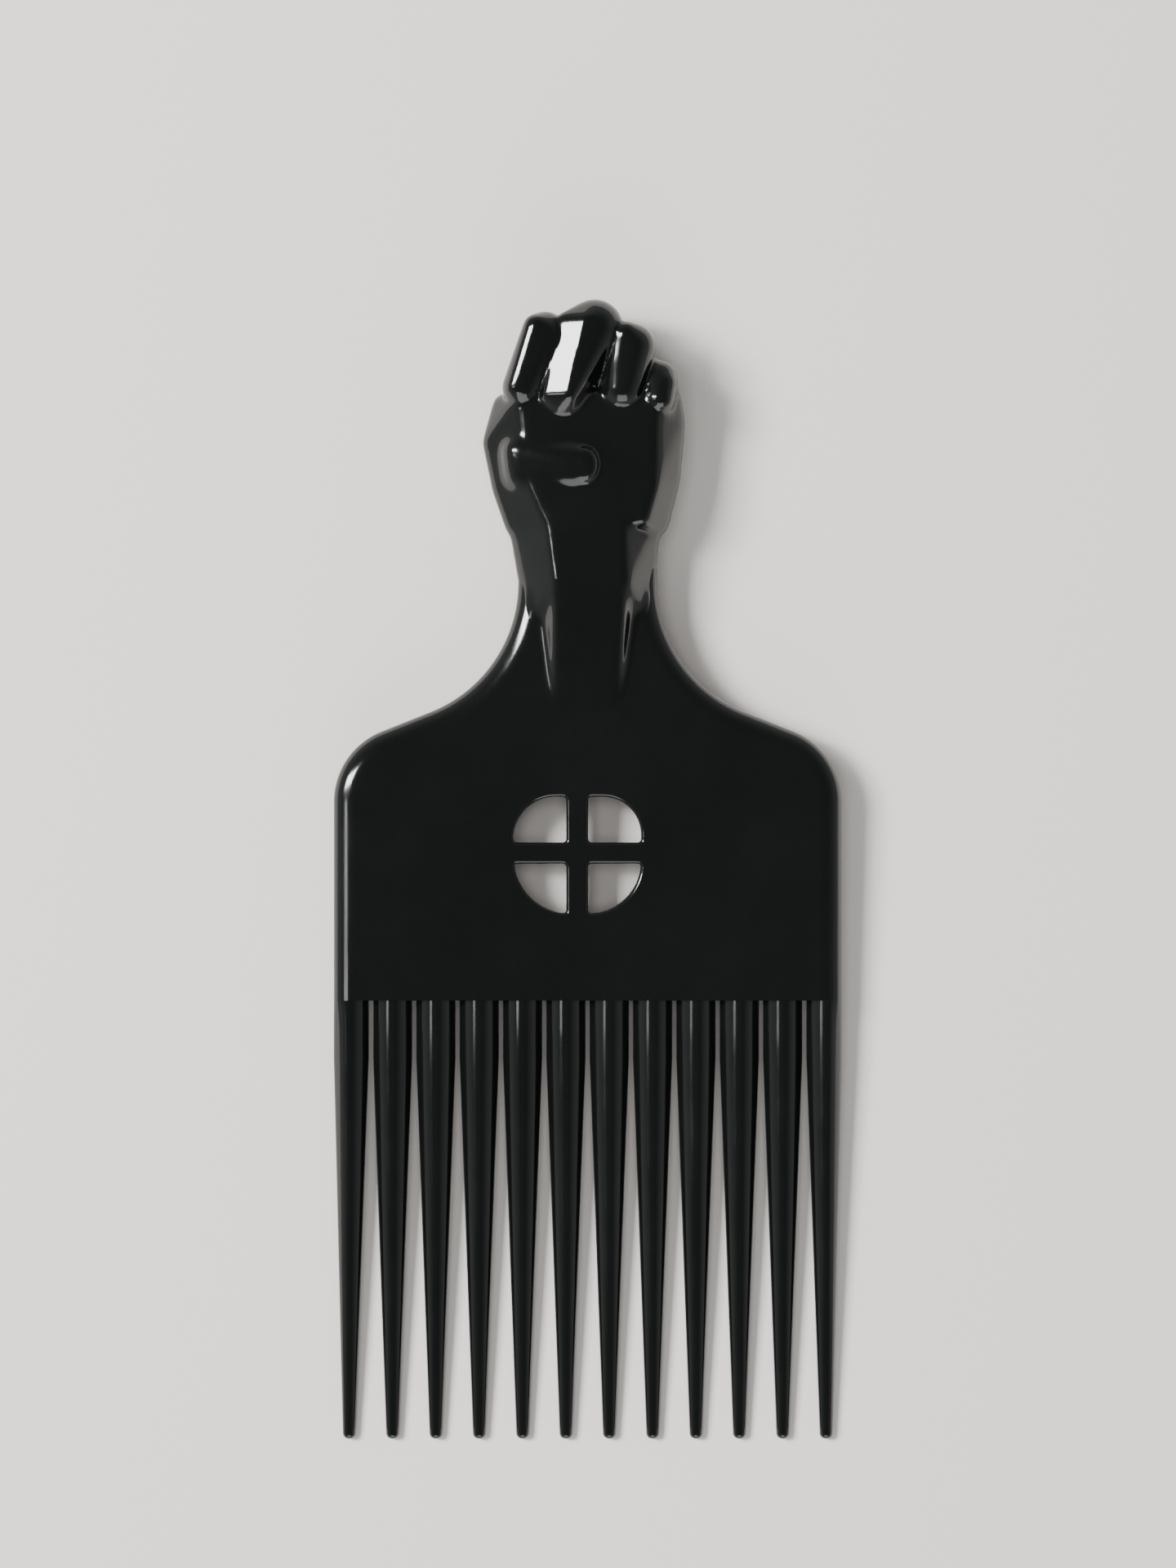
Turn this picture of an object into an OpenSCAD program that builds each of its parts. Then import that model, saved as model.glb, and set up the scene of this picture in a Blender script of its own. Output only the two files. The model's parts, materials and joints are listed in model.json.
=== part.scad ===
// Afro pick: a flat comb back with long straight teeth and a handle shaped as a raised fist.
// The comb is modelled flat: X across, Y from the teeth to the fist, Z out of the palm side.
// It is then laid on a table, where it rests on the back of the hand and on the tooth tips.

/* [Comb back] */
// Width of the comb back, side to side
back_w = 73.8; // [64:0.1:90]
// Thickness of the comb back, which is also the diameter of its round edge
back_t = 4.6; // [3.6:0.1:6]
// Height of the straight sides, from the tooth roots up to the shoulders
side_h = 28.8; // [24:0.1:45]
// Radius of the rounded shoulders
shoulder_r = 11; // [7:0.1:14]
// Slope of the straight stretch between the shoulder and the neck, in degrees
shoulder_slope = 21.7; // [12:0.1:35]
// Radius of the hollow curve where the neck flares into the comb back
neck_r = 20.2; // [14:0.1:23]
// Narrowest width of the neck
neck_w = 20.2; // [16:0.1:24]

/* [Window] */
// Width of the window
window_w = 18.9; // [15:0.1:24]
// Height of the window
window_h = 17.2; // [15:0.1:20]
// Corner radius of the window
window_r = 7.4; // [3:0.1:7.5]
// Height of the window's centre above the tooth roots
window_y = 20.8; // [16:0.1:24]
// How far the window sits left of the comb's centre line
window_shift = 1.5; // [0:0.1:4]
// Width of the upright bar
upright_w = 3.2; // [2:0.1:5]
// Height of the crossbar
crossbar_h = 3.1; // [2:0.1:5]
// How far the crossbar sits above the window's centre
crossbar_rise = 0.3; // [0:0.1:2]

/* [Teeth] */
// Number of teeth
tooth_count = 12; // [8:1:16]
// Length of a tooth from its root to its tip
tooth_len = 63.8; // [45:0.1:80]
// Length of the parallel shank below the root, before the taper
tooth_shank = 8.5; // [4:0.1:20]
// Clear gap between two teeth at their roots
tooth_gap = 0.6; // [0.4:0.1:1.6]
// Depth of a tooth at its crown, front to back
tooth_t = 4.1; // [3:0.1:5]
// Diameter of the round tooth tip
tip_d = 1.65; // [1:0.05:2.4]
// Half width that an end tooth has on its outer side
end_half = 2.25; // [1.5:0.05:2.8]
// Radius of the two long side edges of a tooth
tooth_edge_r = 0.9; // [0.4:0.1:1.2]

/* [Wrist] */
// How far the wrist reaches down the neck, below the neck's narrowest place
cuff_drop = 1.8; // [0.5:0.1:4]
// Length of the wrist above the neck's narrowest place, up to the heel of the hand
wrist_len = 9.5; // [6:0.1:16]
// Depth of the wrist, front to back
wrist_t = 12; // [9:0.1:15]
// Radius of the long edges of the wrist
wrist_edge_r = 4; // [2:0.1:4.4]
// Width of the wrist where it meets the hand
heel_w = 24.2; // [18:0.1:28]
// Length of the ridge that carries the wrist on to the comb back
rib_len = 19; // [10:0.1:20]
// Width of that ridge at the wrist
rib_w = 14.2; // [8:0.1:16]
// Height of that ridge above the comb back, at the wrist
rib_h = 2.9; // [1:0.1:3.6]

/* [Fist] */
// Width of the fist, from the knuckle of the thumb to the edge of the hand
fist_w = 29.2; // [24:0.1:34]
// Height of the fist, from the neck's narrowest place to the top knuckle
fist_h = 41; // [34:0.1:50]
// Depth of the fist, front to back
fist_t = 16; // [13:0.1:20]

/* [Hidden] */
$fn = 48;
// Facets round a ball of a blended form, and round a tooth
ball_fn = 20;
tooth_fn = 20;
// Steps along a finger, from its knuckle on the back to its tip on the palm side
finger_steps = 8;
// Steps of the core's outline along the hollow curve of the neck
neck_steps = 4;
// Steps round a shoulder, and facets round the edge of the comb back
shoulder_steps = 10;
edge_fn = 24;
// How far a cutting body runs past what it cuts
overrun = 1;
// Thickness of the slice that a blended form starts from
slice = 0.01;
black = [0.07, 0.08, 0.075];

// Comb back: the edge line runs in the middle of the round edge, half a thickness inside the outline
edge_r = back_t / 2;
line_x = back_w / 2 - edge_r;
shoulder_x = back_w / 2 - shoulder_r;
shoulder_line_r = shoulder_r - edge_r;
// How far the neck's swept round edge laps over its flat core, whose outline runs in the middle of the lap
edge_lap = shoulder_line_r / 2;
core_inset = edge_lap / 2;
neck_x = neck_w / 2 + neck_r;
neck_line_r = neck_r + edge_r;
lean = 90 - shoulder_slope;
uphill = [cos(lean), sin(lean)];
along_slope = [-cos(shoulder_slope), sin(shoulder_slope)];
shoulder_end = [shoulder_x, side_h] + shoulder_line_r * uphill;
slope_len = (shoulder_end[0] - neck_x + neck_line_r * cos(lean)) / cos(shoulder_slope);
slope_end = shoulder_end + slope_len * along_slope;
neck_centre = slope_end + neck_line_r * uphill;
neck_y = neck_centre[1];
cuff_y = neck_y - cuff_drop;
// The neck begins where its hollow curve starts: a seam runs in from there, square to the edge,
// and then straight across above the window
seam_end = slope_end - edge_lap * uphill;

// Teeth: the outer side of an end tooth is flush with the side of the comb back
tooth_pitch = (back_w - 2 * end_half) / (tooth_count - 1);
tooth_half = (tooth_pitch - tooth_gap) / 2;
tip_r = tip_d / 2;

// Ridge on the neck: shares of its own height and width at its two ends
rib_ball_share = 0.75;
rib_toe_share = 0.62;

// Fist: each row of a table is a ball, placed by shares of the fist as [across, up, out, radius].
// Across and radius are shares of fist_w, up is a share of fist_h from the neck's narrowest place,
// and out is a share of fist_t from the middle plane, towards the palm side.
// A finger starts on the back of the hand, bends over the top and ends at its tip.
index_share = [
    [-0.185, 0.64, -0.24, 0.12],
    [-0.155, 0.92, -0.3, 0.12],
    [-0.175, 0.985, 0.4, 0.13],
    [-0.32, 0.655, 0.22, 0.115],
];
middle_share = [
    [0.045, 0.66, -0.26, 0.125],
    [0.06, 0.97, -0.34, 0.125],
    [0.05, 1.03, 0.48, 0.15],
    [-0.115, 0.63, 0.27, 0.125],
];
ring_share = [
    [0.225, 0.6, -0.25, 0.12],
    [0.235, 0.89, -0.32, 0.12],
    [0.23, 0.93, 0.45, 0.13],
    [0.13, 0.64, 0.24, 0.11],
];
little_share = [
    [0.36, 0.53, -0.18, 0.11],
    [0.365, 0.735, -0.25, 0.105],
    [0.365, 0.755, 0.35, 0.12],
    [0.31, 0.61, 0.2, 0.105],
];
// The thumb starts at its ball, bends outwards at its knuckle and lies across below the fingertips
thumb_share = [
    [-0.3, 0.25, 0.06, 0.13],
    [-0.47, 0.52, 0.02, 0.12],
    [-0.42, 0.56, 0.4, 0.125],
    [-0.06, 0.405, 0.3, 0.125],
];
// Palm side and back of the hand, each blended over six balls
palm_share = [
    [-0.2, 0.7, 0.06, 0.2],
    [0.27, 0.62, 0.06, 0.205],
    [0.27, 0.4, 0.09, 0.205],
    [0.205, 0.22, 0.05, 0.2],
    [-0.18, 0.22, 0.05, 0.2],
    [-0.3, 0.5, 0, 0.205],
];
back_share = [
    [-0.17, 0.74, -0.08, 0.19],
    [0.24, 0.66, -0.08, 0.19],
    [0.2, 0.38, -0.12, 0.2],
    [0.2, 0.22, -0.06, 0.2],
    [-0.18, 0.22, -0.06, 0.2],
    [-0.2, 0.38, -0.12, 0.2],
];

// Resting place: the back of the hand and the tooth tips touch the table together
rest_share = back_share[2];
rest_reach = [neck_y + rest_share[1] * fist_h + tooth_len - tip_r, rest_share[2] * fist_t];
rest_r = rest_share[3] * fist_w;
rest_tilt = asin((rest_r - tip_r) / norm(rest_reach)) - atan2(rest_reach[1], rest_reach[0]);
mid_y = (neck_y + fist_h - tooth_len) / 2;
table_z = tip_r + (tooth_len - tip_r + mid_y) * sin(rest_tilt);

function two_digits(n) = n < 10 ? str("0", n) : str(n);
function tooth_name(n) = str("tooth_", two_digits(n));

// Lays the flat comb on the table, with the middle of its length over the origin.
module laid() {
    translate([0, 0, table_z]) rotate([rest_tilt, 0, 0]) translate([0, -mid_y, 0])
        color(black) children();
}

// Section of the round edge: a half disc beyond the Y axis.
module half_disc() {
    intersection() {
        circle(r = edge_r, $fn = edge_fn);
        translate([0, -back_t]) square([back_t, 2 * back_t]);
    }
}

// A ball with a point at each pole, so that what is blended over it is flat at full thickness.
module edge_ball(place) {
    translate([place[0], place[1], 0]) rotate_extrude($fn = edge_fn) half_disc();
}

// Curved round edge of the neck along an arc of the plane, bulging towards the arc's centre.
module hollow_edge(centre, radius, from, sweep) {
    translate([centre[0], centre[1], 0]) rotate([0, 0, from])
        rotate_extrude(angle = sweep) translate([radius, 0]) mirror([1, 0]) {
            intersection() {
                circle(r = edge_r);
                translate([0, -back_t]) square([back_t, 2 * back_t]);
            }
            translate([-edge_lap, -edge_r]) square([edge_lap, back_t]);
        }
}

// Comb back before it is cut: straight sides, round shoulders, and slopes that run on past the neck's seam.
module back_blank() {
    hull() for (side = [0, 1]) mirror([side, 0, 0]) {
        translate([line_x, 0, 0]) rotate([-90, 0, 0]) cylinder(r = edge_r, h = side_h, $fn = edge_fn);
        for (i = [0:shoulder_steps])
            let (turn = lean * i / shoulder_steps)
                edge_ball([shoulder_x, side_h] + shoulder_line_r * [cos(turn), sin(turn)]);
        edge_ball(slope_end + back_t * along_slope);
    }
}

// All that lies above the seam between comb back and neck.
module above_seam() {
    seam_top = slope_end + back_t * uphill;
    translate([0, 0, -back_t]) linear_extrude(2 * back_t) polygon([
        [-seam_end[0], seam_end[1]],
        [seam_end[0], seam_end[1]],
        seam_top,
        [seam_top[0], neck_y],
        [-seam_top[0], neck_y],
        [-seam_top[0], seam_top[1]],
    ]);
}

// Right half of the neck with its round edge, up to the narrowest place.
module half_neck() {
    linear_extrude(back_t, center = true) polygon(concat(
        [[0, seam_end[1]], seam_end],
        [
            for (i = [neck_steps:-1:0])
                let (turn = lean * i / neck_steps)
                    neck_centre - (neck_line_r + core_inset) * [cos(turn), sin(turn)]
        ],
        [[0, neck_y]]
    ));
    hollow_edge(neck_centre, neck_line_r, 180, lean);
}

// Outline of the window: a rectangle with very round corners.
module window_outline() {
    translate([-window_shift, window_y]) union() {
        square([window_w - 2 * window_r, window_h], center = true);
        square([window_w, window_h - 2 * window_r], center = true);
        for (x = [-1, 1], y = [-1, 1])
            translate([x * (window_w / 2 - window_r), y * (window_h / 2 - window_r)])
                circle(r = window_r);
    }
}

module comb_back() {
    difference() {
        back_blank();
        above_seam();
        linear_extrude(back_t + 2 * overrun, center = true) window_outline();
    }
}

// The neck ends on the wrist, a little below its narrowest place.
module neck() {
    difference() {
        union() {
            half_neck();
            mirror([1, 0, 0]) half_neck();
        }
        translate([-back_w / 2, cuff_y, -back_t]) cube([back_w, cuff_drop + overrun, 2 * back_t]);
    }
}

// The bars end on the rim of the window.
module window_upright() {
    linear_extrude(back_t, center = true) intersection() {
        window_outline();
        translate([-window_shift, window_y]) square([upright_w, window_h + overrun], center = true);
    }
}

module window_crossbar() {
    linear_extrude(back_t, center = true) difference() {
        intersection() {
            window_outline();
            translate([-window_shift, window_y + crossbar_rise])
                square([window_w + overrun, crossbar_h], center = true);
        }
        translate([-window_shift, window_y]) square([upright_w, window_h + overrun], center = true);
    }
}

// Cross-section of a tooth: thick along its middle and thin at its two round side edges.
module tooth_section(left, right) {
    intersection() {
        circle(d = tooth_t, $fn = tooth_fn);
        square([left + right, tooth_t], center = true);
    }
    translate([tooth_edge_r - left, 0]) circle(r = tooth_edge_r, $fn = tooth_fn);
    translate([right - tooth_edge_r, 0]) circle(r = tooth_edge_r, $fn = tooth_fn);
}

// One tooth: a parallel shank from the root, then a straight taper to the round tip.
module tooth(n) {
    left = n == 1 ? end_half : tooth_half;
    right = n == tooth_count ? end_half : tooth_half;
    x = (n - (tooth_count + 1) / 2) * tooth_pitch;
    translate([x, 0, 0]) hull() {
        rotate([90, 0, 0]) linear_extrude(tooth_shank) tooth_section(left, right);
        translate([0, tip_r - tooth_len, 0]) sphere(r = tip_r, $fn = tooth_fn);
    }
}

// Ridge on the front of the neck: full height at the wrist, sunk into the comb back at its toe.
module neck_rib() {
    ball = rib_h * rib_ball_share;
    toe = rib_h * rib_toe_share;
    difference() {
        hull() {
            for (side = [-1, 1]) {
                translate([side * (rib_w / 2 - ball), cuff_y, edge_r + rib_h - ball])
                    sphere(r = ball, $fn = ball_fn);
                translate([side * (rib_w / 2 * rib_toe_share - toe), cuff_y - rib_len, edge_r - toe])
                    sphere(r = toe, $fn = ball_fn);
            }
        }
        translate([-rib_w, cuff_y - 2 * rib_len, -back_t]) cube([2 * rib_w, 3 * rib_len, back_t + edge_r]);
        translate([-rib_w, cuff_y, 0]) cube([2 * rib_w, rib_len, wrist_t]);
    }
}

// A ball of the fist, from a row of shares.
module ball(share) {
    translate([share[0] * fist_w, neck_y + share[1] * fist_h, share[2] * fist_t])
        sphere(r = share[3] * fist_w, $fn = ball_fn);
}

// A point on the smooth curve that a list of rows pulls, at a place from 0 to 1.
function along(rows, place) =
    len(rows) == 1
        ? rows[0]
        : along([for (i = [0:len(rows) - 2]) rows[i] * (1 - place) + rows[i + 1] * place], place);

// A bent finger: balls blended in pairs along its curve.
module finger(rows) {
    for (i = [0:finger_steps - 1]) hull() {
        ball(along(rows, i / finger_steps));
        ball(along(rows, (i + 1) / finger_steps));
    }
}

module middle_finger() {
    finger(middle_share);
}

module index_finger() {
    difference() {
        finger(index_share);
        finger(middle_share);
    }
}

module ring_finger() {
    difference() {
        finger(ring_share);
        finger(middle_share);
    }
}

module little_finger() {
    difference() {
        finger(little_share);
        finger(ring_share);
    }
}

module fingers() {
    finger(index_share);
    finger(middle_share);
    finger(ring_share);
    finger(little_share);
}

module thumb() {
    difference() {
        finger(thumb_share);
        fingers();
    }
}

// The hand between the fingers and the wrist, as one body.
module hand_body() {
    hull() for (share = palm_share) ball(share);
    hull() for (share = back_share) ball(share);
}

module hand() {
    difference() {
        hand_body();
        fingers();
        finger(thumb_share);
    }
}

// Cross-section of the wrist, a slice of a rounded bar.
module wrist_slice(w) {
    rotate([90, 0, 0]) linear_extrude(slice) hull()
        for (x = [-1, 1], z = [-1, 1])
            translate([x * (w / 2 - wrist_edge_r), z * (wrist_t / 2 - wrist_edge_r)])
                circle(r = wrist_edge_r, $fn = ball_fn);
}

module wrist() {
    difference() {
        hull() {
            translate([0, cuff_y + slice, 0]) wrist_slice(neck_w);
            translate([0, neck_y + wrist_len, 0]) wrist_slice(heel_w);
        }
        hand_body();
        fingers();
        finger(thumb_share);
    }
}

laid() comb_back();
laid() neck();
laid() window_upright();
laid() window_crossbar();
laid() neck_rib();  // neck_rib_front
laid() mirror([0, 0, 1]) neck_rib();  // neck_rib_rear
laid() wrist();
laid() hand();
laid() thumb();
laid() index_finger();
laid() middle_finger();
laid() ring_finger();
laid() little_finger();
for (n = [1:tooth_count])
    laid() tooth(n);
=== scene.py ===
"""Looks of the afro pick: one glossy black moulding with comb back, twelve teeth and fist."""

import json
import math

import bmesh
import bpy
from mathutils import Matrix, Vector


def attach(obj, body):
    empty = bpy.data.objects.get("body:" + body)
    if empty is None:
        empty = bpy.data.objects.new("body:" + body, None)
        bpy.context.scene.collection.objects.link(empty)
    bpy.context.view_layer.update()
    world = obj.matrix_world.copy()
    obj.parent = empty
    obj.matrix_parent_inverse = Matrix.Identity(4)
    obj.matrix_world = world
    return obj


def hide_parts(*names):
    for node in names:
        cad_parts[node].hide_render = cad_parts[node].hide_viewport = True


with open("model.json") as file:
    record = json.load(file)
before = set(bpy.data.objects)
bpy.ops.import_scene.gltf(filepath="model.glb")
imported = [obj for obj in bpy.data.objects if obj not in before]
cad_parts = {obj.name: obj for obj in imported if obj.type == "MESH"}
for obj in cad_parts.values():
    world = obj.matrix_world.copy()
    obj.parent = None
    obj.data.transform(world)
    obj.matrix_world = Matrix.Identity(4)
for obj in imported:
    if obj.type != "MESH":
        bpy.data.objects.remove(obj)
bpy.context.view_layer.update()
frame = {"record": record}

# The comb's own flat frame
# The pick is modelled flat and in millimetres: X across, Y from the tooth roots (0) to the fist,
# Z out of the palm side from the middle plane. LAID turns that into the row frame, where the pick
# lies on the back of its fist and on its tooth tips. The rear mount gives the tilt and the height.
MM_IN_M = 1000
REAR_POINT = Vector((22.0, 10.0, -2.3))
rear_mount = next(m for m in frame["record"]["mounts"] if m["name"] == "rear_face")
rear_spot = Vector(rear_mount["pos_m"]) * MM_IN_M
tilt = math.asin(rear_mount["axis"][1])
TURN = Matrix.Rotation(tilt, 4, "X")
LAID = (Matrix.Scale(1 / MM_IN_M, 4)
        @ Matrix.Translation(rear_spot - TURN @ REAR_POINT) @ TURN)
ACROSS, UP, OUT = Vector((1, 0, 0)), Vector((0, 1, 0)), Vector((0, 0, 1))
# Turns a ring that lies flat into a cross-section of the comb
STANDING = Matrix.Rotation(math.pi / 2, 4, "X")

# Comb back: its outline, and the half ellipse of its round edge
BACK_W, SIDE_H = 73.8, 28.8
SHOULDER_R, SHOULDER_SLOPE = 11.0, 21.7
NECK_R, NECK_W = 20.2, 20.2
EDGE_R, EDGE_W = 2.3, 3.4
# How far the edge runs on above the neck's narrowest place, inside the wrist
NECK_RUN = 2.0
# Faces round the edge, and along each stretch of it from the roots up
EDGE_SEGMENTS = 40
SIDE_STEPS, SHOULDER_STEPS, SLOPE_STEPS, NECK_STEPS = 6, 28, 3, 32

# Window, whose upper corners are squarer than the lower ones: radii by side and top or bottom
WINDOW_W, WINDOW_H = 18.5, 16.9
WINDOW_R = {(-1, 1): 6.1, (1, 1): 5.5, (1, -1): 7.6, (-1, -1): 8.2}
WINDOW_X, WINDOW_Y, CROSSBAR_RISE = -1.5, 21.05, 0.3
UPRIGHT_W, CROSSBAR_H = 3.2, 3.1
# Roundings: where a pane turns in from the plate's face, and of a pane's corners at the bars
RIM_R, CORNER_R = 0.55, 0.5
WINDOW_SEGMENTS, CORNER_SEGMENTS, RIM_STEPS = 18, 6, 6
# A corner at a bar is any bend sharper than this
CORNER_ANGLE = math.radians(140)
# Points on a pane's curved side give way within this many roundings of a corner
CORNER_ROOM = 1.2

# Teeth: the inner ones fill the pitch but for a gap, the end ones are narrower on the outside
TOOTH_COUNT, TOOTH_LEN, TOOTH_T = 12, 63.8, 4.1
TOOTH_GAP, END_HALF = 0.6, 2.25
# Straight shank below the roots, and the round tip: radius, and half its width
SHANK, TIP_R, TIP_HALF = 8.5, 0.815, 0.93
# How far the end teeth carry the comb back's round edge down their outer side
EDGE_RUN = 3.0
# Root: how deep a tooth starts in the comb back, its scale there, how far its faces lie below the
# plate's, and the length along it in which the slab's section steps down to the crowned one
ROOT_DEPTH, ROOT_SHRINK, ROOT_SINK, ROOT_STEP = 0.9, 0.9, 0.01, 0.03
# Sections: power that squares the slab's, power that widens the crown's, half the crown's height
# at its sides, and how round its ridge is
SLAB_POWER, CROWN_POWER, CROWN_SIDE, RIDGE_ROUND = 0.35, 0.85, 0.95, 0.03
# Rings down the shank, below the step, and the numbers of rings along the taper and round the tip
SHANK_RINGS = (0.3, 1.0, 2.0, 4.0, SHANK)
RING_SEGMENTS, TAPER_RINGS, TIP_RINGS = 40, 8, 5
TIP_TURN = math.radians(15)

# Edges that stay sharp: of the comb back, and of the teeth above this height
PLATE_SHARP, ROOT_SHARP, ROOT_SHARP_Y = math.radians(50), math.radians(35), -0.1
# Points this near count as in one place or plane
NEAR, JOIN = 0.001, 0.0005
# A share of a section's reach that is as good as nothing
TINY = 1e-6

LINE_X = BACK_W / 2 - EDGE_W
SHOULDER_X = BACK_W / 2 - SHOULDER_R
LEAN = math.radians(90 - SHOULDER_SLOPE)
UPHILL = Vector((math.cos(LEAN), math.sin(LEAN), 0))
ALONG = Vector((-UPHILL.y, UPHILL.x, 0))
SHOULDER_END = Vector((SHOULDER_X, SIDE_H, 0)) + (SHOULDER_R - EDGE_W) * UPHILL
NECK_X = NECK_W / 2 + NECK_R
SLOPE_LEN = (SHOULDER_END.x - NECK_X + (NECK_R + EDGE_W) * UPHILL.x) / -ALONG.x
SLOPE_END = SHOULDER_END + SLOPE_LEN * ALONG
NECK_CENTRE = SLOPE_END + (NECK_R + EDGE_W) * UPHILL


# Making and finishing pieces
def new_piece(name, bm):
    """A mesh object from a bmesh, still in the flat frame."""
    mesh = bpy.data.meshes.new(name)
    bm.to_mesh(mesh)
    bm.free()
    piece = bpy.data.objects.new(name, mesh)
    bpy.context.scene.collection.objects.link(piece)
    return piece


def bake(piece):
    """Applies a piece's modifiers to its mesh."""
    bpy.context.view_layer.update()
    view = bpy.context.evaluated_depsgraph_get()
    done = bpy.data.meshes.new_from_object(piece.evaluated_get(view))
    old = piece.data
    piece.modifiers.clear()
    piece.data = done
    bpy.data.meshes.remove(old)
    done.name = piece.name


def lay_down(piece, nodes, material):
    """Puts a finished flat piece in the row frame, and hides the CAD nodes that it stands for."""
    piece.data.transform(LAID)
    piece.data.materials.clear()
    piece.data.materials.append(material)
    piece.data.shade_smooth()
    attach(piece, "root")
    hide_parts(*nodes)


def verts_of(geometry):
    """The vertices in what a bmesh operator gives back."""
    return [g for g in geometry if isinstance(g, bmesh.types.BMVert)]


def edges_of(geometry):
    """The edges in what a bmesh operator gives back."""
    return [g for g in geometry if isinstance(g, bmesh.types.BMEdge)]


def corners_of(parts):
    """The vertices of some edges or faces, each once."""
    return list(dict.fromkeys(v for part in parts for v in part.verts))


def round_off(bm, verts, radius, segments):
    """Rounds corners of flat faces."""
    bmesh.ops.bevel(bm, geom=verts, offset=radius, segments=segments, profile=0.5,
                    affect="VERTICES", material=-1)


# Material
def linear(hex_colour):
    """Linear RGBA from an sRGB hex colour."""
    parts = [int(hex_colour[i:i + 2], 16) / 255 for i in (1, 3, 5)]
    return [v / 12.92 if v <= 0.04045 else ((v + 0.055) / 1.055) ** 2.4 for v in parts] + [1.0]


def add_node(tree, kind, settings=None, inputs=None):
    """Adds a node, sets its properties, and fills or links its inputs."""
    node = tree.nodes.new(kind)
    for key, value in (settings or {}).items():
        setattr(node, key, value)
    for key, value in (inputs or {}).items():
        if isinstance(value, bpy.types.NodeSocket):
            tree.links.new(value, node.inputs[key])
        else:
            node.inputs[key].default_value = value
    return node


def moulded_polystyrene():
    """Black polystyrene, injection moulded in a polished tool. The eye sees a deep black with
    sharp reflections, which waver a little where the plastic shrank, and fine hairlines from
    handling. Lengths in the nodes are in metres."""
    material = bpy.data.materials.new("black_polystyrene_polished_moulding")
    material.use_nodes = True
    tree = material.node_tree
    tree.nodes.clear()
    coords = add_node(tree, "ShaderNodeTexCoord").outputs["Object"]
    # Shrinkage: waves about 9 mm long and about a hundredth of a millimetre deep
    waves = add_node(tree, "ShaderNodeTexNoise", inputs={
        "Vector": coords, "Scale": 110.0, "Detail": 1.0})
    # Hairlines: 0.3 mm apart and some 17 mm long, crossing in two directions. Real ones are
    # finer, and these are drawn to show.
    lines = []
    for turn in (0.5, -1.1):
        turned = add_node(tree, "ShaderNodeMapping", inputs={
            "Vector": coords, "Rotation": (0.0, 0.0, turn), "Scale": (3300.0, 60.0, 400.0)})
        lines.append(add_node(tree, "ShaderNodeTexNoise", inputs={
            "Vector": turned.outputs["Vector"], "Scale": 1.0, "Detail": 2.0}).outputs["Fac"])
    crossing = add_node(tree, "ShaderNodeMath", {"operation": "MULTIPLY"}, {
        0: lines[0], 1: lines[1]})
    # Handling: patches about 14 mm across where the polish is duller
    patches = add_node(tree, "ShaderNodeTexNoise", inputs={
        "Vector": coords, "Scale": 70.0, "Detail": 4.0, "Roughness": 0.6})
    gloss = add_node(tree, "ShaderNodeMapRange", inputs={
        "Value": patches.outputs["Fac"],
        "From Min": 0.35, "From Max": 0.7, "To Min": 0.06, "To Max": 0.14})
    wear = add_node(tree, "ShaderNodeMath", {"operation": "MULTIPLY_ADD"}, {
        0: crossing.outputs[0], 1: 0.08, 2: gloss.outputs[0]})
    tint = add_node(tree, "ShaderNodeMix", {"data_type": "RGBA"}, {
        "Factor": patches.outputs["Fac"], "A": linear("#080a09"), "B": linear("#0e100f")})
    swell = add_node(tree, "ShaderNodeBump", inputs={
        "Height": waves.outputs["Fac"], "Strength": 0.35, "Distance": 0.00012})
    hairs = add_node(tree, "ShaderNodeBump", inputs={
        "Height": crossing.outputs[0], "Strength": 0.3, "Distance": 0.00001,
        "Normal": swell.outputs["Normal"]})
    # Parting line: a raised thread 0.14 mm wide round the middle plane, where the halves of the
    # mould met
    from_rear = add_node(tree, "ShaderNodeVectorMath", {"operation": "SUBTRACT"}, {
        0: coords, 1: rear_spot / MM_IN_M})
    height = add_node(tree, "ShaderNodeVectorMath", {"operation": "DOT_PRODUCT"}, {
        0: from_rear.outputs[0], 1: TURN.to_3x3().col[2]})
    off_middle = add_node(tree, "ShaderNodeMath", {"operation": "SUBTRACT"}, {
        0: height.outputs["Value"], 1: -REAR_POINT.z / MM_IN_M})
    distance = add_node(tree, "ShaderNodeMath", {"operation": "ABSOLUTE"}, {
        0: off_middle.outputs[0]})
    thread = add_node(tree, "ShaderNodeMapRange", inputs={
        "Value": distance.outputs[0],
        "From Min": 0.00003, "From Max": 0.00007, "To Min": 1.0, "To Max": 0.0})
    seam = add_node(tree, "ShaderNodeBump", inputs={
        "Height": thread.outputs[0], "Strength": 0.6, "Distance": 0.00004,
        "Normal": hairs.outputs["Normal"]})
    shader = add_node(tree, "ShaderNodeBsdfPrincipled", inputs={
        "Base Color": tint.outputs["Result"], "Roughness": wear.outputs[0], "IOR": 1.59,
        "Normal": seam.outputs["Normal"]})
    add_node(tree, "ShaderNodeOutputMaterial", inputs={"Surface": shader.outputs["BSDF"]})
    return material


# Comb back
def push(bm, edges, shift, steps):
    """Extrudes edges along a straight line, and gives the last ones."""
    for _ in range(steps):
        out = bmesh.ops.extrude_edge_only(bm, edges=edges)["geom"]
        bmesh.ops.translate(bm, verts=verts_of(out), vec=shift / steps)
        edges = edges_of(out)
    return edges


def swing(bm, edges, centre, angle, steps):
    """Extrudes edges round an upright line through a centre, and gives the last ones."""
    out = bmesh.ops.spin(bm, geom=corners_of(edges) + edges, cent=centre, axis=OUT, angle=angle,
                         steps=steps)
    return edges_of(out["geom_last"])


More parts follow.
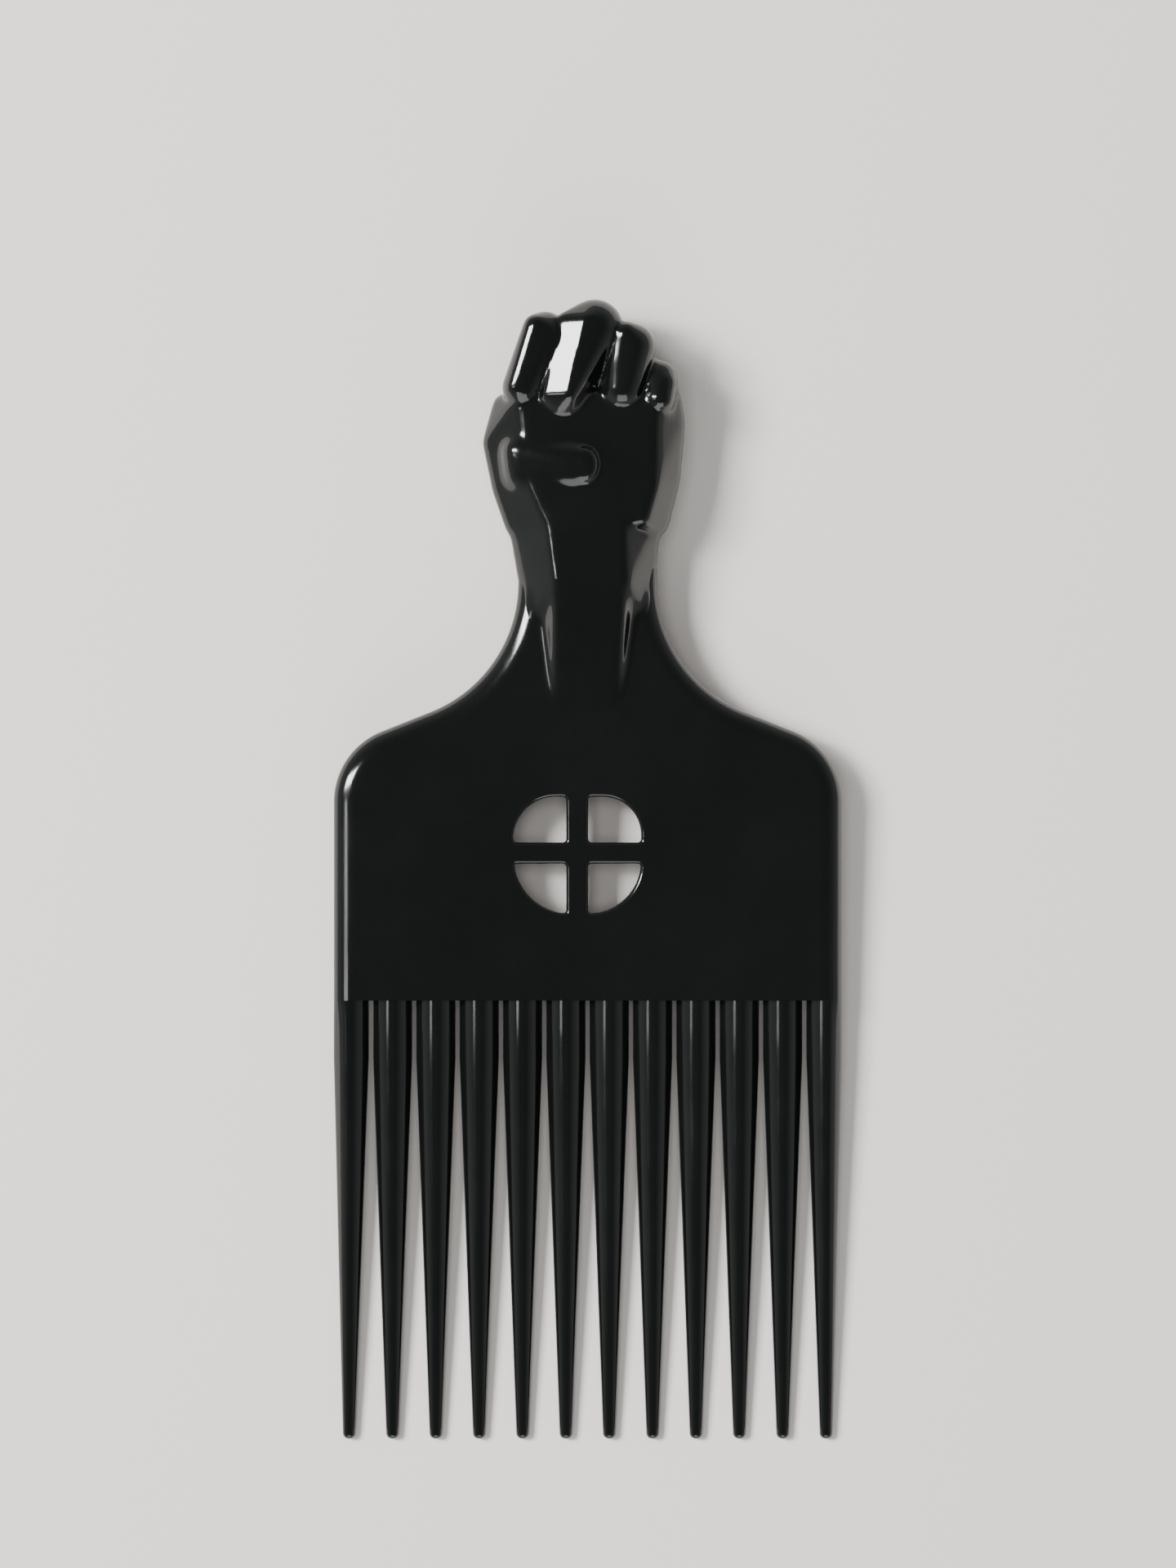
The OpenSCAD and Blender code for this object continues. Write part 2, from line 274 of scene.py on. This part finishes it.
def sweep_edge(bm):
    """The right half of the round edge, from the tooth roots up past the neck's narrowest place."""
    place = (Matrix.Translation((LINE_X, 0, 0)) @ Matrix.Diagonal((EDGE_W, 1, EDGE_R, 1))
             @ STANDING)
    section = bmesh.ops.create_circle(bm, segments=EDGE_SEGMENTS, radius=1.0, matrix=place)
    inner = [v for v in section["verts"] if v.co.x < LINE_X - NEAR]
    bmesh.ops.delete(bm, geom=inner, context="VERTS")
    rim = push(bm, bm.edges[:], SIDE_H * UP, SIDE_STEPS)
    rim = swing(bm, rim, (SHOULDER_X, SIDE_H, 0), LEAN, SHOULDER_STEPS)
    rim = push(bm, rim, SLOPE_LEN * ALONG, SLOPE_STEPS)
    rim = swing(bm, rim, NECK_CENTRE, -LEAN, NECK_STEPS)
    push(bm, rim, NECK_RUN * UP, 1)


def pane_faces(grow):
    """The four panes of the window as flat faces, grown all round by a rim's width."""
    bm = bmesh.new()
    place = (Matrix.Translation((WINDOW_X, WINDOW_Y, 0))
             @ Matrix.Diagonal((WINDOW_W / 2 + grow, WINDOW_H / 2 + grow, 1, 1)))
    bmesh.ops.create_grid(bm, x_segments=1, y_segments=1, size=1.0, matrix=place)
    for (right, top), radius in WINDOW_R.items():
        corner = max(bm.verts, key=lambda v: right * v.co.x + top * v.co.y)
        round_off(bm, [corner], radius + grow, WINDOW_SEGMENTS)
    # The bars part the window in four, and their own strips go
    middle = Vector((WINDOW_X, WINDOW_Y + CROSSBAR_RISE, 0))
    upright_half, crossbar_half = UPRIGHT_W / 2 - grow, CROSSBAR_H / 2 - grow
    for normal, half in ((ACROSS, upright_half), (UP, crossbar_half)):
        for side in (-1, 1):
            bmesh.ops.bisect_plane(bm, geom=bm.verts[:] + bm.edges[:] + bm.faces[:],
                                   plane_co=middle + side * half * normal, plane_no=normal)
    for face in bm.faces[:]:
        offset = face.calc_center_median() - middle
        if abs(offset.x) < upright_half or abs(offset.y) < crossbar_half:
            bmesh.ops.delete(bm, geom=[face], context="FACES")
    bmesh.ops.delete(bm, geom=[v for v in bm.verts if not v.link_faces], context="VERTS")
    corners = [v for v in bm.verts if v.link_loops[0].calc_angle() < CORNER_ANGLE]
    room = CORNER_ROOM * (CORNER_R + grow)
    close = [v for v in bm.verts
             if v not in corners and any((v.co - c.co).length < room for c in corners)]
    bmesh.ops.dissolve_verts(bm, verts=close)
    round_off(bm, corners, CORNER_R + grow, CORNER_SEGMENTS)
    return bm


def turn_in(bm, lids):
    """Insets and sinks flat lids in steps, so that their rims turn in over a quarter round."""
    for step in range(RIM_STEPS):
        a, b = (math.pi / 2 * k / RIM_STEPS for k in (step, step + 1))
        bmesh.ops.inset_region(bm, faces=lids, thickness=RIM_R * (math.sin(b) - math.sin(a)),
                               depth=-RIM_R * (math.cos(a) - math.cos(b)),
                               use_even_offset=True, use_boundary=True)


def comb_back():
    """The plate with its round edge and the four panes of its window."""
    bm = bmesh.new()
    sweep_edge(bm)
    half = bm.verts[:] + bm.edges[:] + bm.faces[:]
    bmesh.ops.mirror(bm, geom=half, merge_dist=0, axis="X")
    # Rims of the panes, on both faces of the plate
    walls = {}
    panes = pane_faces(RIM_R)
    pane_mesh = bpy.data.meshes.new("panes")
    panes.to_mesh(pane_mesh)
    panes.free()
    for side in (1, -1):
        before = set(bm.faces)
        bm.from_mesh(pane_mesh)
        lids = [f for f in bm.faces if f not in before]
        bmesh.ops.translate(bm, verts=corners_of(lids), vec=side * EDGE_R * OUT)
        for lid in lids:
            if lid.normal.z * side < 0:
                lid.normal_flip()
        turn_in(bm, lids)
        for lid in lids:
            centre = lid.calc_center_median()
            pane = (centre.x > WINDOW_X, centre.y > WINDOW_Y + CROSSBAR_RISE)
            walls.setdefault(pane, []).extend(lid.edges)
        bmesh.ops.delete(bm, geom=lids, context="FACES_ONLY")
    bpy.data.meshes.remove(pane_mesh)
    # Walls of the panes, between the two rims
    for loops in walls.values():
        bmesh.ops.bridge_loops(bm, edges=loops)
    # Flat faces with their holes, each closed across its two ends
    for side in (1, -1):
        rim = [e for e in bm.edges
               if e.is_boundary and all(abs(v.co.z - side * EDGE_R) < NEAR for v in e.verts)]
        ends = [v for v in corners_of(rim) if sum(e in rim for e in v.link_edges) == 1]
        ends.sort(key=lambda v: (v.co.y > SIDE_H, v.co.x))
        rim += [bm.edges.new(pair) for pair in (ends[:2], ends[2:])]
        bmesh.ops.triangle_fill(bm, use_beauty=True, edges=rim, normal=side * OUT)
    bmesh.ops.holes_fill(bm, edges=[e for e in bm.edges if e.is_boundary], sides=0)
    bmesh.ops.remove_doubles(bm, verts=bm.verts[:], dist=JOIN)
    bmesh.ops.recalc_face_normals(bm, faces=bm.faces[:])
    for edge in bm.edges:
        if len(edge.link_faces) == 2 and edge.calc_face_angle() > PLATE_SHARP:
            edge.smooth = False
    return new_piece("comb_back_plate", bm)


# Teeth
def signed_power(value, power):
    """A power of a number's size, with the number's sign."""
    return math.copysign(abs(value) ** power, value)


def ridge_height(c):
    """How far the crown rises over its sides: 1 at the ridge, 0 at the sides."""
    foot = math.sqrt(RIDGE_ROUND)
    return 1 - (math.sqrt(c * c + RIDGE_ROUND) - foot) / (math.sqrt(1 + RIDGE_ROUND) - foot)


def tooth(number):
    """A tooth lofted from rings: a slab at the root, a square step, a crowned shank and taper."""
    pitch = (BACK_W - 2 * END_HALF) / (TOOTH_COUNT - 1)
    inner_half = (pitch - TOOTH_GAP) / 2
    left = END_HALF if number == 1 else inner_half
    right = END_HALF if number == TOOTH_COUNT else inner_half
    middle = (number - (TOOTH_COUNT + 1) / 2) * pitch
    bm = bmesh.new()
    ring = bmesh.ops.create_circle(bm, segments=RING_SEGMENTS, radius=1.0,
                                   matrix=STANDING)["verts"]
    shape = [(v.co.x, v.co.z) for v in ring]
    edges = bm.edges[:]

    def place_ring(y, crowned, taper=0.0, shrink=1.0):
        """Shapes the ring: crowned 0 is the slab, 1 the crowned section; taper 1 is the tip."""
        for v, (c, s) in zip(ring, shape):
            reach = (left if c < 0 else right) if abs(c) > TINY else (left + right) / 2
            outer = (number == 1 and c < 0) or (number == TOOTH_COUNT and c > 0)
            slab_x = signed_power(c, 1.0 if outer else SLAB_POWER) * reach
            over = max(0.0, abs(middle + slab_x) - LINE_X) / EDGE_W
            slab_z = (EDGE_R - ROOT_SINK) * math.sqrt(max(0.0, 1 - over * over))
            slab_z *= signed_power(s, 0.0 if outer and abs(s) > TINY else SLAB_POWER)
            crown_x = signed_power(c, CROWN_POWER) * reach
            crown_z = s * (CROWN_SIDE + (TOOTH_T / 2 - CROWN_SIDE) * ridge_height(c))
            # The outer side of an end tooth carries the comb back's round edge further down
            share = min(1.0, max(0.0, -y) / EDGE_RUN) if outer else crowned
            x = slab_x + (crown_x - slab_x) * share
            z = slab_z + (crown_z - slab_z) * share
            x = (x * (1 - taper) + c * TIP_HALF * taper) * shrink
            z = (z * (1 - taper) + s * TIP_R * taper) * shrink
            v.co = (middle + x, y, z)

    def next_ring(*where):
        """Extrudes the ring, keeping the order of its vertices, and shapes the new one."""
        nonlocal edges, ring
        out = bmesh.ops.extrude_edge_only(bm, edges=edges)["geom"]
        fresh = verts_of(out)
        ring = [next(other for other in (e.other_vert(v) for e in v.link_edges) if other in fresh)
                for v in ring]
        edges = edges_of(out)
        place_ring(*where)

    place_ring(ROOT_DEPTH, 0.0, shrink=ROOT_SHRINK)
    bmesh.ops.contextual_create(bm, geom=edges)
    next_ring(0.0, 0.0)
    for depth in (ROOT_STEP, *SHANK_RINGS):
        next_ring(-depth, 1.0)
    taper_end = TIP_R - TOOTH_LEN
    for k in range(1, TAPER_RINGS + 1):
        share = k / TAPER_RINGS
        next_ring(-SHANK + (taper_end + SHANK) * share, 1.0, share)
    for k in range(1, TIP_RINGS + 1):
        turn = TIP_TURN * k
        next_ring(taper_end - TIP_R * math.sin(turn), 1.0, 1.0, math.cos(turn))
    bmesh.ops.contextual_create(bm, geom=edges)
    bmesh.ops.recalc_face_normals(bm, faces=bm.faces[:])
    for edge in bm.edges:
        if edge.calc_face_angle() > ROOT_SHARP and min(v.co.y for v in edge.verts) > ROOT_SHARP_Y:
            edge.smooth = False
    return new_piece(f"tooth_{number:02d}_crowned", bm)


# Handle
# Balls as [across, up, out, radius] in the flat frame. A body is the skin stretched over its balls.
HAND = [
    # Widest line of the hand, left and right
    (-13.6, 81.0, 0.2, 1.8), (-12.2, 74.2, 0.2, 1.8), (-12.1, 86.4, 0.0, 1.8),
    (-10.4, 68.8, 0.2, 1.7), (12.6, 83.6, 0.2, 1.7), (11.9, 75.6, 0.2, 1.7),
    (12.1, 87.2, 0.3, 1.7), (10.3, 69.0, 0.2, 1.6),
    # Palm, which falls away a little towards the fingertips
    (-8.6, 81.0, 4.3, 1.1), (-7.9, 74.6, 4.6, 1.1), (-9.5, 87.2, 4.45, 1.1),
    (9.6, 84.6, 4.2, 1.0), (9.4, 74.4, 4.7, 1.0), (-5.6, 69.2, 4.9, 1.0),
    (8.0, 69.6, 4.8, 1.0), (8.9, 87.2, 3.9, 1.0),
    # Back of the hand
    (-7.4, 80.0, -5.3, 2.1), (-6.6, 75.0, -5.6, 2.1), (-7.4, 86.6, -4.8, 2.1),
    (8.2, 84.4, -4.9, 2.1), (7.4, 75.0, -5.6, 2.1), (-5.4, 69.2, -4.6, 1.9),
    (6.4, 69.4, -4.6, 1.9),
]
WRIST = [
    # Its sides
    (-8.8, 60.7, 0.0, 1.4), (8.5, 60.7, 0.0, 1.4), (-10.2, 69.6, 0.0, 1.5), (9.3, 69.6, 0.0, 1.5),
    # Its front, then its back
    (-4.1, 60.4, 4.9, 1.1), (5.2, 60.4, 4.9, 1.1), (-5.4, 70.4, 4.9, 1.1), (4.8, 70.4, 4.9, 1.1),
    (-4.4, 60.4, -4.4, 1.6), (4.8, 60.4, -4.4, 1.6),
    (-5.2, 70.4, -4.5, 1.6), (5.2, 70.4, -4.5, 1.6),
    # Where its sides run out on the comb back
    (-7.4, 55.4, 0.9, 1.3), (7.4, 56.4, 0.9, 1.3), (-7.4, 55.4, -0.9, 1.3), (7.4, 56.4, -0.9, 1.3),
]
# Tongue: the tapering ridge that runs from the wrist down the neck, in front, and its mirror behind
TONGUE = [
    (-4.2, 60.6, 4.9, 1.0), (4.9, 60.6, 4.9, 1.0), (-6.3, 59.6, 1.0, 1.3), (6.1, 59.6, 1.0, 1.3),
    (-4.3, 41.6, 1.1, 1.1), (3.8, 41.6, 1.1, 1.1),
]
REAR_TONGUE = [(x, y, -z, r) for x, y, z, r in TONGUE]
# The neck's own faces, a hair below the comb back's, so that the tongue meets them in a fillet
APRON = [(x, y, z, 0.9) for x in (-8.4, 8.4) for y in (39.0, 59.0) for z in (-1.36, 1.36)]
# Thumb: from its joint on the left, across the palm, to its tip
THUMB = [
    (-9.7, 79.4, 2.9, 2.9), (-9.3, 76.3, 2.55, 2.9),
    (-2.2, 77.9, 3.2, 3.75), (-2.1, 76.7, 3.2, 3.75),
]
NAIL_PLACE, NAIL_REACH = (-0.4, 77.4, 6.1), (2.0, 2.6, 0.95)
# Fingers: [knuckle, tip] in front, [knuckle, base] behind, the flat pad in front as the places
# and widths of its two ends [across, up, width], its turn to the left in degrees, and the radius
# round it
FINGERS = [
    # Index finger
    ([(-6.2, 96.1, 3.8, 3.6), (-9.4, 88.6, 3.6, 3.0)],
     [(-6.0, 95.7, -3.4, 3.6), (-5.3, 86.0, -3.5, 3.4)],
     [(-7.4, 97.4, 0.4), (-10.1, 88.5, 0.4)], 19, 1.7),
    # Middle finger
    ([(1.0, 97.2, 3.8, 4.25), (-3.5, 87.4, 3.2, 3.85)],
     [(0.9, 97.0, -3.4, 4.0), (0.5, 86.0, -3.6, 3.6)],
     [(-1.7, 98.1, 3.6), (-4.1, 87.4, 3.2)], 20, 1.2),
    # Ring finger
    ([(6.4, 94.5, 3.8, 3.5), (5.0, 88.6, 3.5, 3.3)],
     [(6.4, 94.1, -3.3, 3.4), (5.9, 85.0, -3.5, 3.3)],
     [(5.4, 96.2, 0.2), (4.7, 92.2, 0.2)], 19, 1.9),
    # Little finger
    ([(10.3, 90.0, 2.2, 2.8), (10.1, 87.0, 2.9, 2.7)],
     [(10.2, 89.4, -2.9, 3.0), (10.3, 83.0, -3.0, 3.0)],
     [(10.8, 89.2, 0.3), (10.4, 87.0, 0.3)], 20, 2.0),
]
# How far a pad stands out, as a share of the finger's radius
PAD_RISE = 1.06
# Skins: size of the cells that fuse the forms, and passes that soften the creases
BODY_CELL, BODY_PASSES = 0.4, 12
FIST_CELL, FIST_PASSES = 0.25, 24
SOFTENING = 0.5
BALL_SEGMENTS, BALL_RINGS = 28, 16


def add_mesh(bm, mesh):
    """Adds a mesh to a bmesh, and drops the mesh."""
    bm.from_mesh(mesh)
    bpy.data.meshes.remove(mesh)


def unit_ball():
    """The ball of radius 1 that the others are copied from."""
    ball = bmesh.new()
    bmesh.ops.create_uvsphere(ball, u_segments=BALL_SEGMENTS, v_segments=BALL_RINGS, radius=1.0)
    mesh = bpy.data.meshes.new("ball")
    ball.to_mesh(mesh)
    ball.free()
    return mesh


BALL = unit_ball()


def add_ball(bm, place, reach):
    """A ball, or an egg where its reaches across, up and out differ."""
    mesh = BALL.copy()
    mesh.transform(Matrix.Translation(place) @ Matrix.Diagonal((*reach, 1)))
    add_mesh(bm, mesh)


def stretch_over(bm, balls):
    """A body whose skin is stretched over some balls."""
    body = bmesh.new()
    for *place, r in balls:
        add_ball(body, place, (r, r, r))
    hull = bmesh.ops.convex_hull(body, input=body.verts)
    bmesh.ops.delete(body, geom=verts_of(hull["geom_interior"]), context="VERTS")
    mesh = bpy.data.meshes.new("body")
    body.to_mesh(mesh)
    body.free()
    add_mesh(bm, mesh)


def fused(name, bm, cell, passes):
    """One closed skin over overlapping forms, with its creases softened."""
    piece = new_piece(name, bm)
    skin = piece.modifiers.new("skin", "REMESH")
    skin.mode = "VOXEL"
    skin.voxel_size = cell
    soften = piece.modifiers.new("soften", "SMOOTH")
    soften.factor = SOFTENING
    soften.iterations = passes
    bake(piece)
    return piece


def add_finger(bm, front, behind, pad, turn, pad_r):
    """A bent finger, whose front part has a flat pad that looks out and somewhat to the left."""
    out = Vector((-math.sin(math.radians(turn)), 0, math.cos(math.radians(turn))))
    side = Vector((out.z, 0, -out.x))
    balls = list(front)
    for (x, _, z, r), (pad_x, pad_y, pad_w) in zip(front, pad):
        lift = (PAD_RISE * r - pad_r - (pad_x - x) * out.x) / out.z
        for shift in (-0.5, 0.5):
            balls.append((*(Vector((pad_x, pad_y, z + lift)) + shift * pad_w * side), pad_r))
    stretch_over(bm, balls)
    stretch_over(bm, [front[0]] + behind)


def handle():
    """The fist on its wrist, with the tongues that run out on the neck."""
    bm = bmesh.new()
    for balls in (HAND, WRIST, TONGUE, REAR_TONGUE, APRON, THUMB):
        stretch_over(bm, balls)
    body = fused("handle_body", bm, BODY_CELL, BODY_PASSES)
    bm = bmesh.new()
    bm.from_mesh(body.data)
    bpy.data.objects.remove(body)
    for rows in FINGERS:
        add_finger(bm, *rows)
    add_ball(bm, NAIL_PLACE, NAIL_REACH)
    return fused("raised_fist_handle", bm, FIST_CELL, FIST_PASSES)


# The pick
polystyrene = moulded_polystyrene()

plate = comb_back()
weighted = plate.modifiers.new("flat faces stay flat", "WEIGHTED_NORMAL")
weighted.keep_sharp = True
weighted.weight = 100
lay_down(plate, ["comb_back", "neck", "window_upright", "window_crossbar"], polystyrene)

for number in range(1, TOOTH_COUNT + 1):
    lay_down(tooth(number), [f"tooth_{number:02d}"], polystyrene)

lay_down(handle(), ["hand", "wrist", "thumb", "index_finger", "middle_finger", "ring_finger",
                    "little_finger", "neck_rib_front", "neck_rib_rear"], polystyrene)


# Studio
def link(name, data):
    """An object in the scene for a camera's or light's data."""
    thing = bpy.data.objects.new(name, data)
    bpy.context.scene.collection.objects.link(thing)
    return thing


def aim(thing, place, target):
    """Puts a camera or light at a place of the flat frame, and turns it to look at a target there,
    with the fist upwards in view."""
    place, target = LAID @ Vector(place), LAID @ Vector(target)
    forward = (target - place).normalized()
    right = forward.cross((TURN.to_3x3() @ UP).normalized()).normalized()
    axes = Matrix((right, right.cross(forward), -forward)).transposed()
    thing.matrix_world = Matrix.Translation(place) @ axes.to_4x4()


# Camera: the middle and the height of what it sees, and its distance, in millimetres
FRAME_X, FRAME_Y = 0.06, 31.37
FRAME_H, DISTANCE = 227.9, 640.0
# Height of its sensor in millimetres, and the nearest that it sees in metres
SENSOR_H, NEAREST = 36.0, 0.01

camera = link("camera", bpy.data.cameras.new("camera"))
camera.data.sensor_fit = "VERTICAL"
camera.data.sensor_height = SENSOR_H
camera.data.lens = SENSOR_H * DISTANCE / FRAME_H
camera.data.clip_start = NEAREST
aim(camera, (FRAME_X, FRAME_Y, DISTANCE), (FRAME_X, FRAME_Y, 0.0))
bpy.context.scene.camera = camera

# Floor: a painted board, 4 m wide
FLOOR_HALF = 2.0
bm = bmesh.new()
bmesh.ops.create_grid(bm, x_segments=1, y_segments=1, size=FLOOR_HALF)
floor = new_piece("studio_floor", bm)
board = bpy.data.materials.new("white_painted_board")
board.use_nodes = True
paint = board.node_tree.nodes["Principled BSDF"].inputs
paint["Base Color"].default_value = linear("#e4dfda")
paint["Roughness"].default_value = 0.85
floor.data.materials.append(board)

# A room with a dark ceiling, which the flat plate mirrors, and pale walls, which the slopes mirror
world = bpy.data.worlds.new("studio")
world.use_nodes = True
room = world.node_tree
room.nodes.clear()
look = add_node(room, "ShaderNodeTexCoord").outputs["Generated"]
height = add_node(room, "ShaderNodeSeparateXYZ", inputs={"Vector": look}).outputs["Z"]
walls = add_node(room, "ShaderNodeMapRange", {"interpolation_type": "SMOOTHSTEP"}, {
    "Value": height, "From Min": 0.9, "From Max": 0.05, "To Min": 0.1, "To Max": 0.55})
glow = add_node(room, "ShaderNodeBackground", inputs={
    "Color": linear("#f4f5f6"), "Strength": walls.outputs[0]})
add_node(room, "ShaderNodeOutputWorld", inputs={"Surface": glow.outputs[0]})
bpy.context.scene.world = world

# Lights: place, target and size in millimetres of the flat frame, and watts. The window on the
# left is split in panes, so that only the fingers, the plate's left edge and the tooth roots
# mirror it.
LIGHTS = {
    "window_left": ((-1000, 370, 1120), (0, 90, 0), (560, 235), 25.0),
    "window_left_lower_pane": ((-1000, 2, 1120), (0, 20, 0), (260, 46), 0.5),
    "window_left_foot_pane": ((-1000, -66, 1120), (0, 0, 0), (420, 24), 0.3),
    "wash_foot": ((0, -1550, 1000), (0, 0, 0), (1500, 1200), 15.0),
    "front_fill": ((-60, 60, 1500), (0, 31, 0), (700, 700), 6.5),
    "side_fill": ((-1000, 385, 1120), (0, 40, 0), (560, 940), 27.0),
}
# The fills light the gaps and panes, and the plastic doesn't mirror them, as if they were
# cross-polarised
FILLS = ("front_fill", "side_fill")

for name, (place, target, (width, depth), watts) in LIGHTS.items():
    lamp = link(name, bpy.data.lights.new(name, "AREA"))
    lamp.data.shape = "RECTANGLE"
    lamp.data.size, lamp.data.size_y = width / MM_IN_M, depth / MM_IN_M
    lamp.data.energy = watts
    aim(lamp, place, target)
    lamp.visible_glossy = name not in FILLS
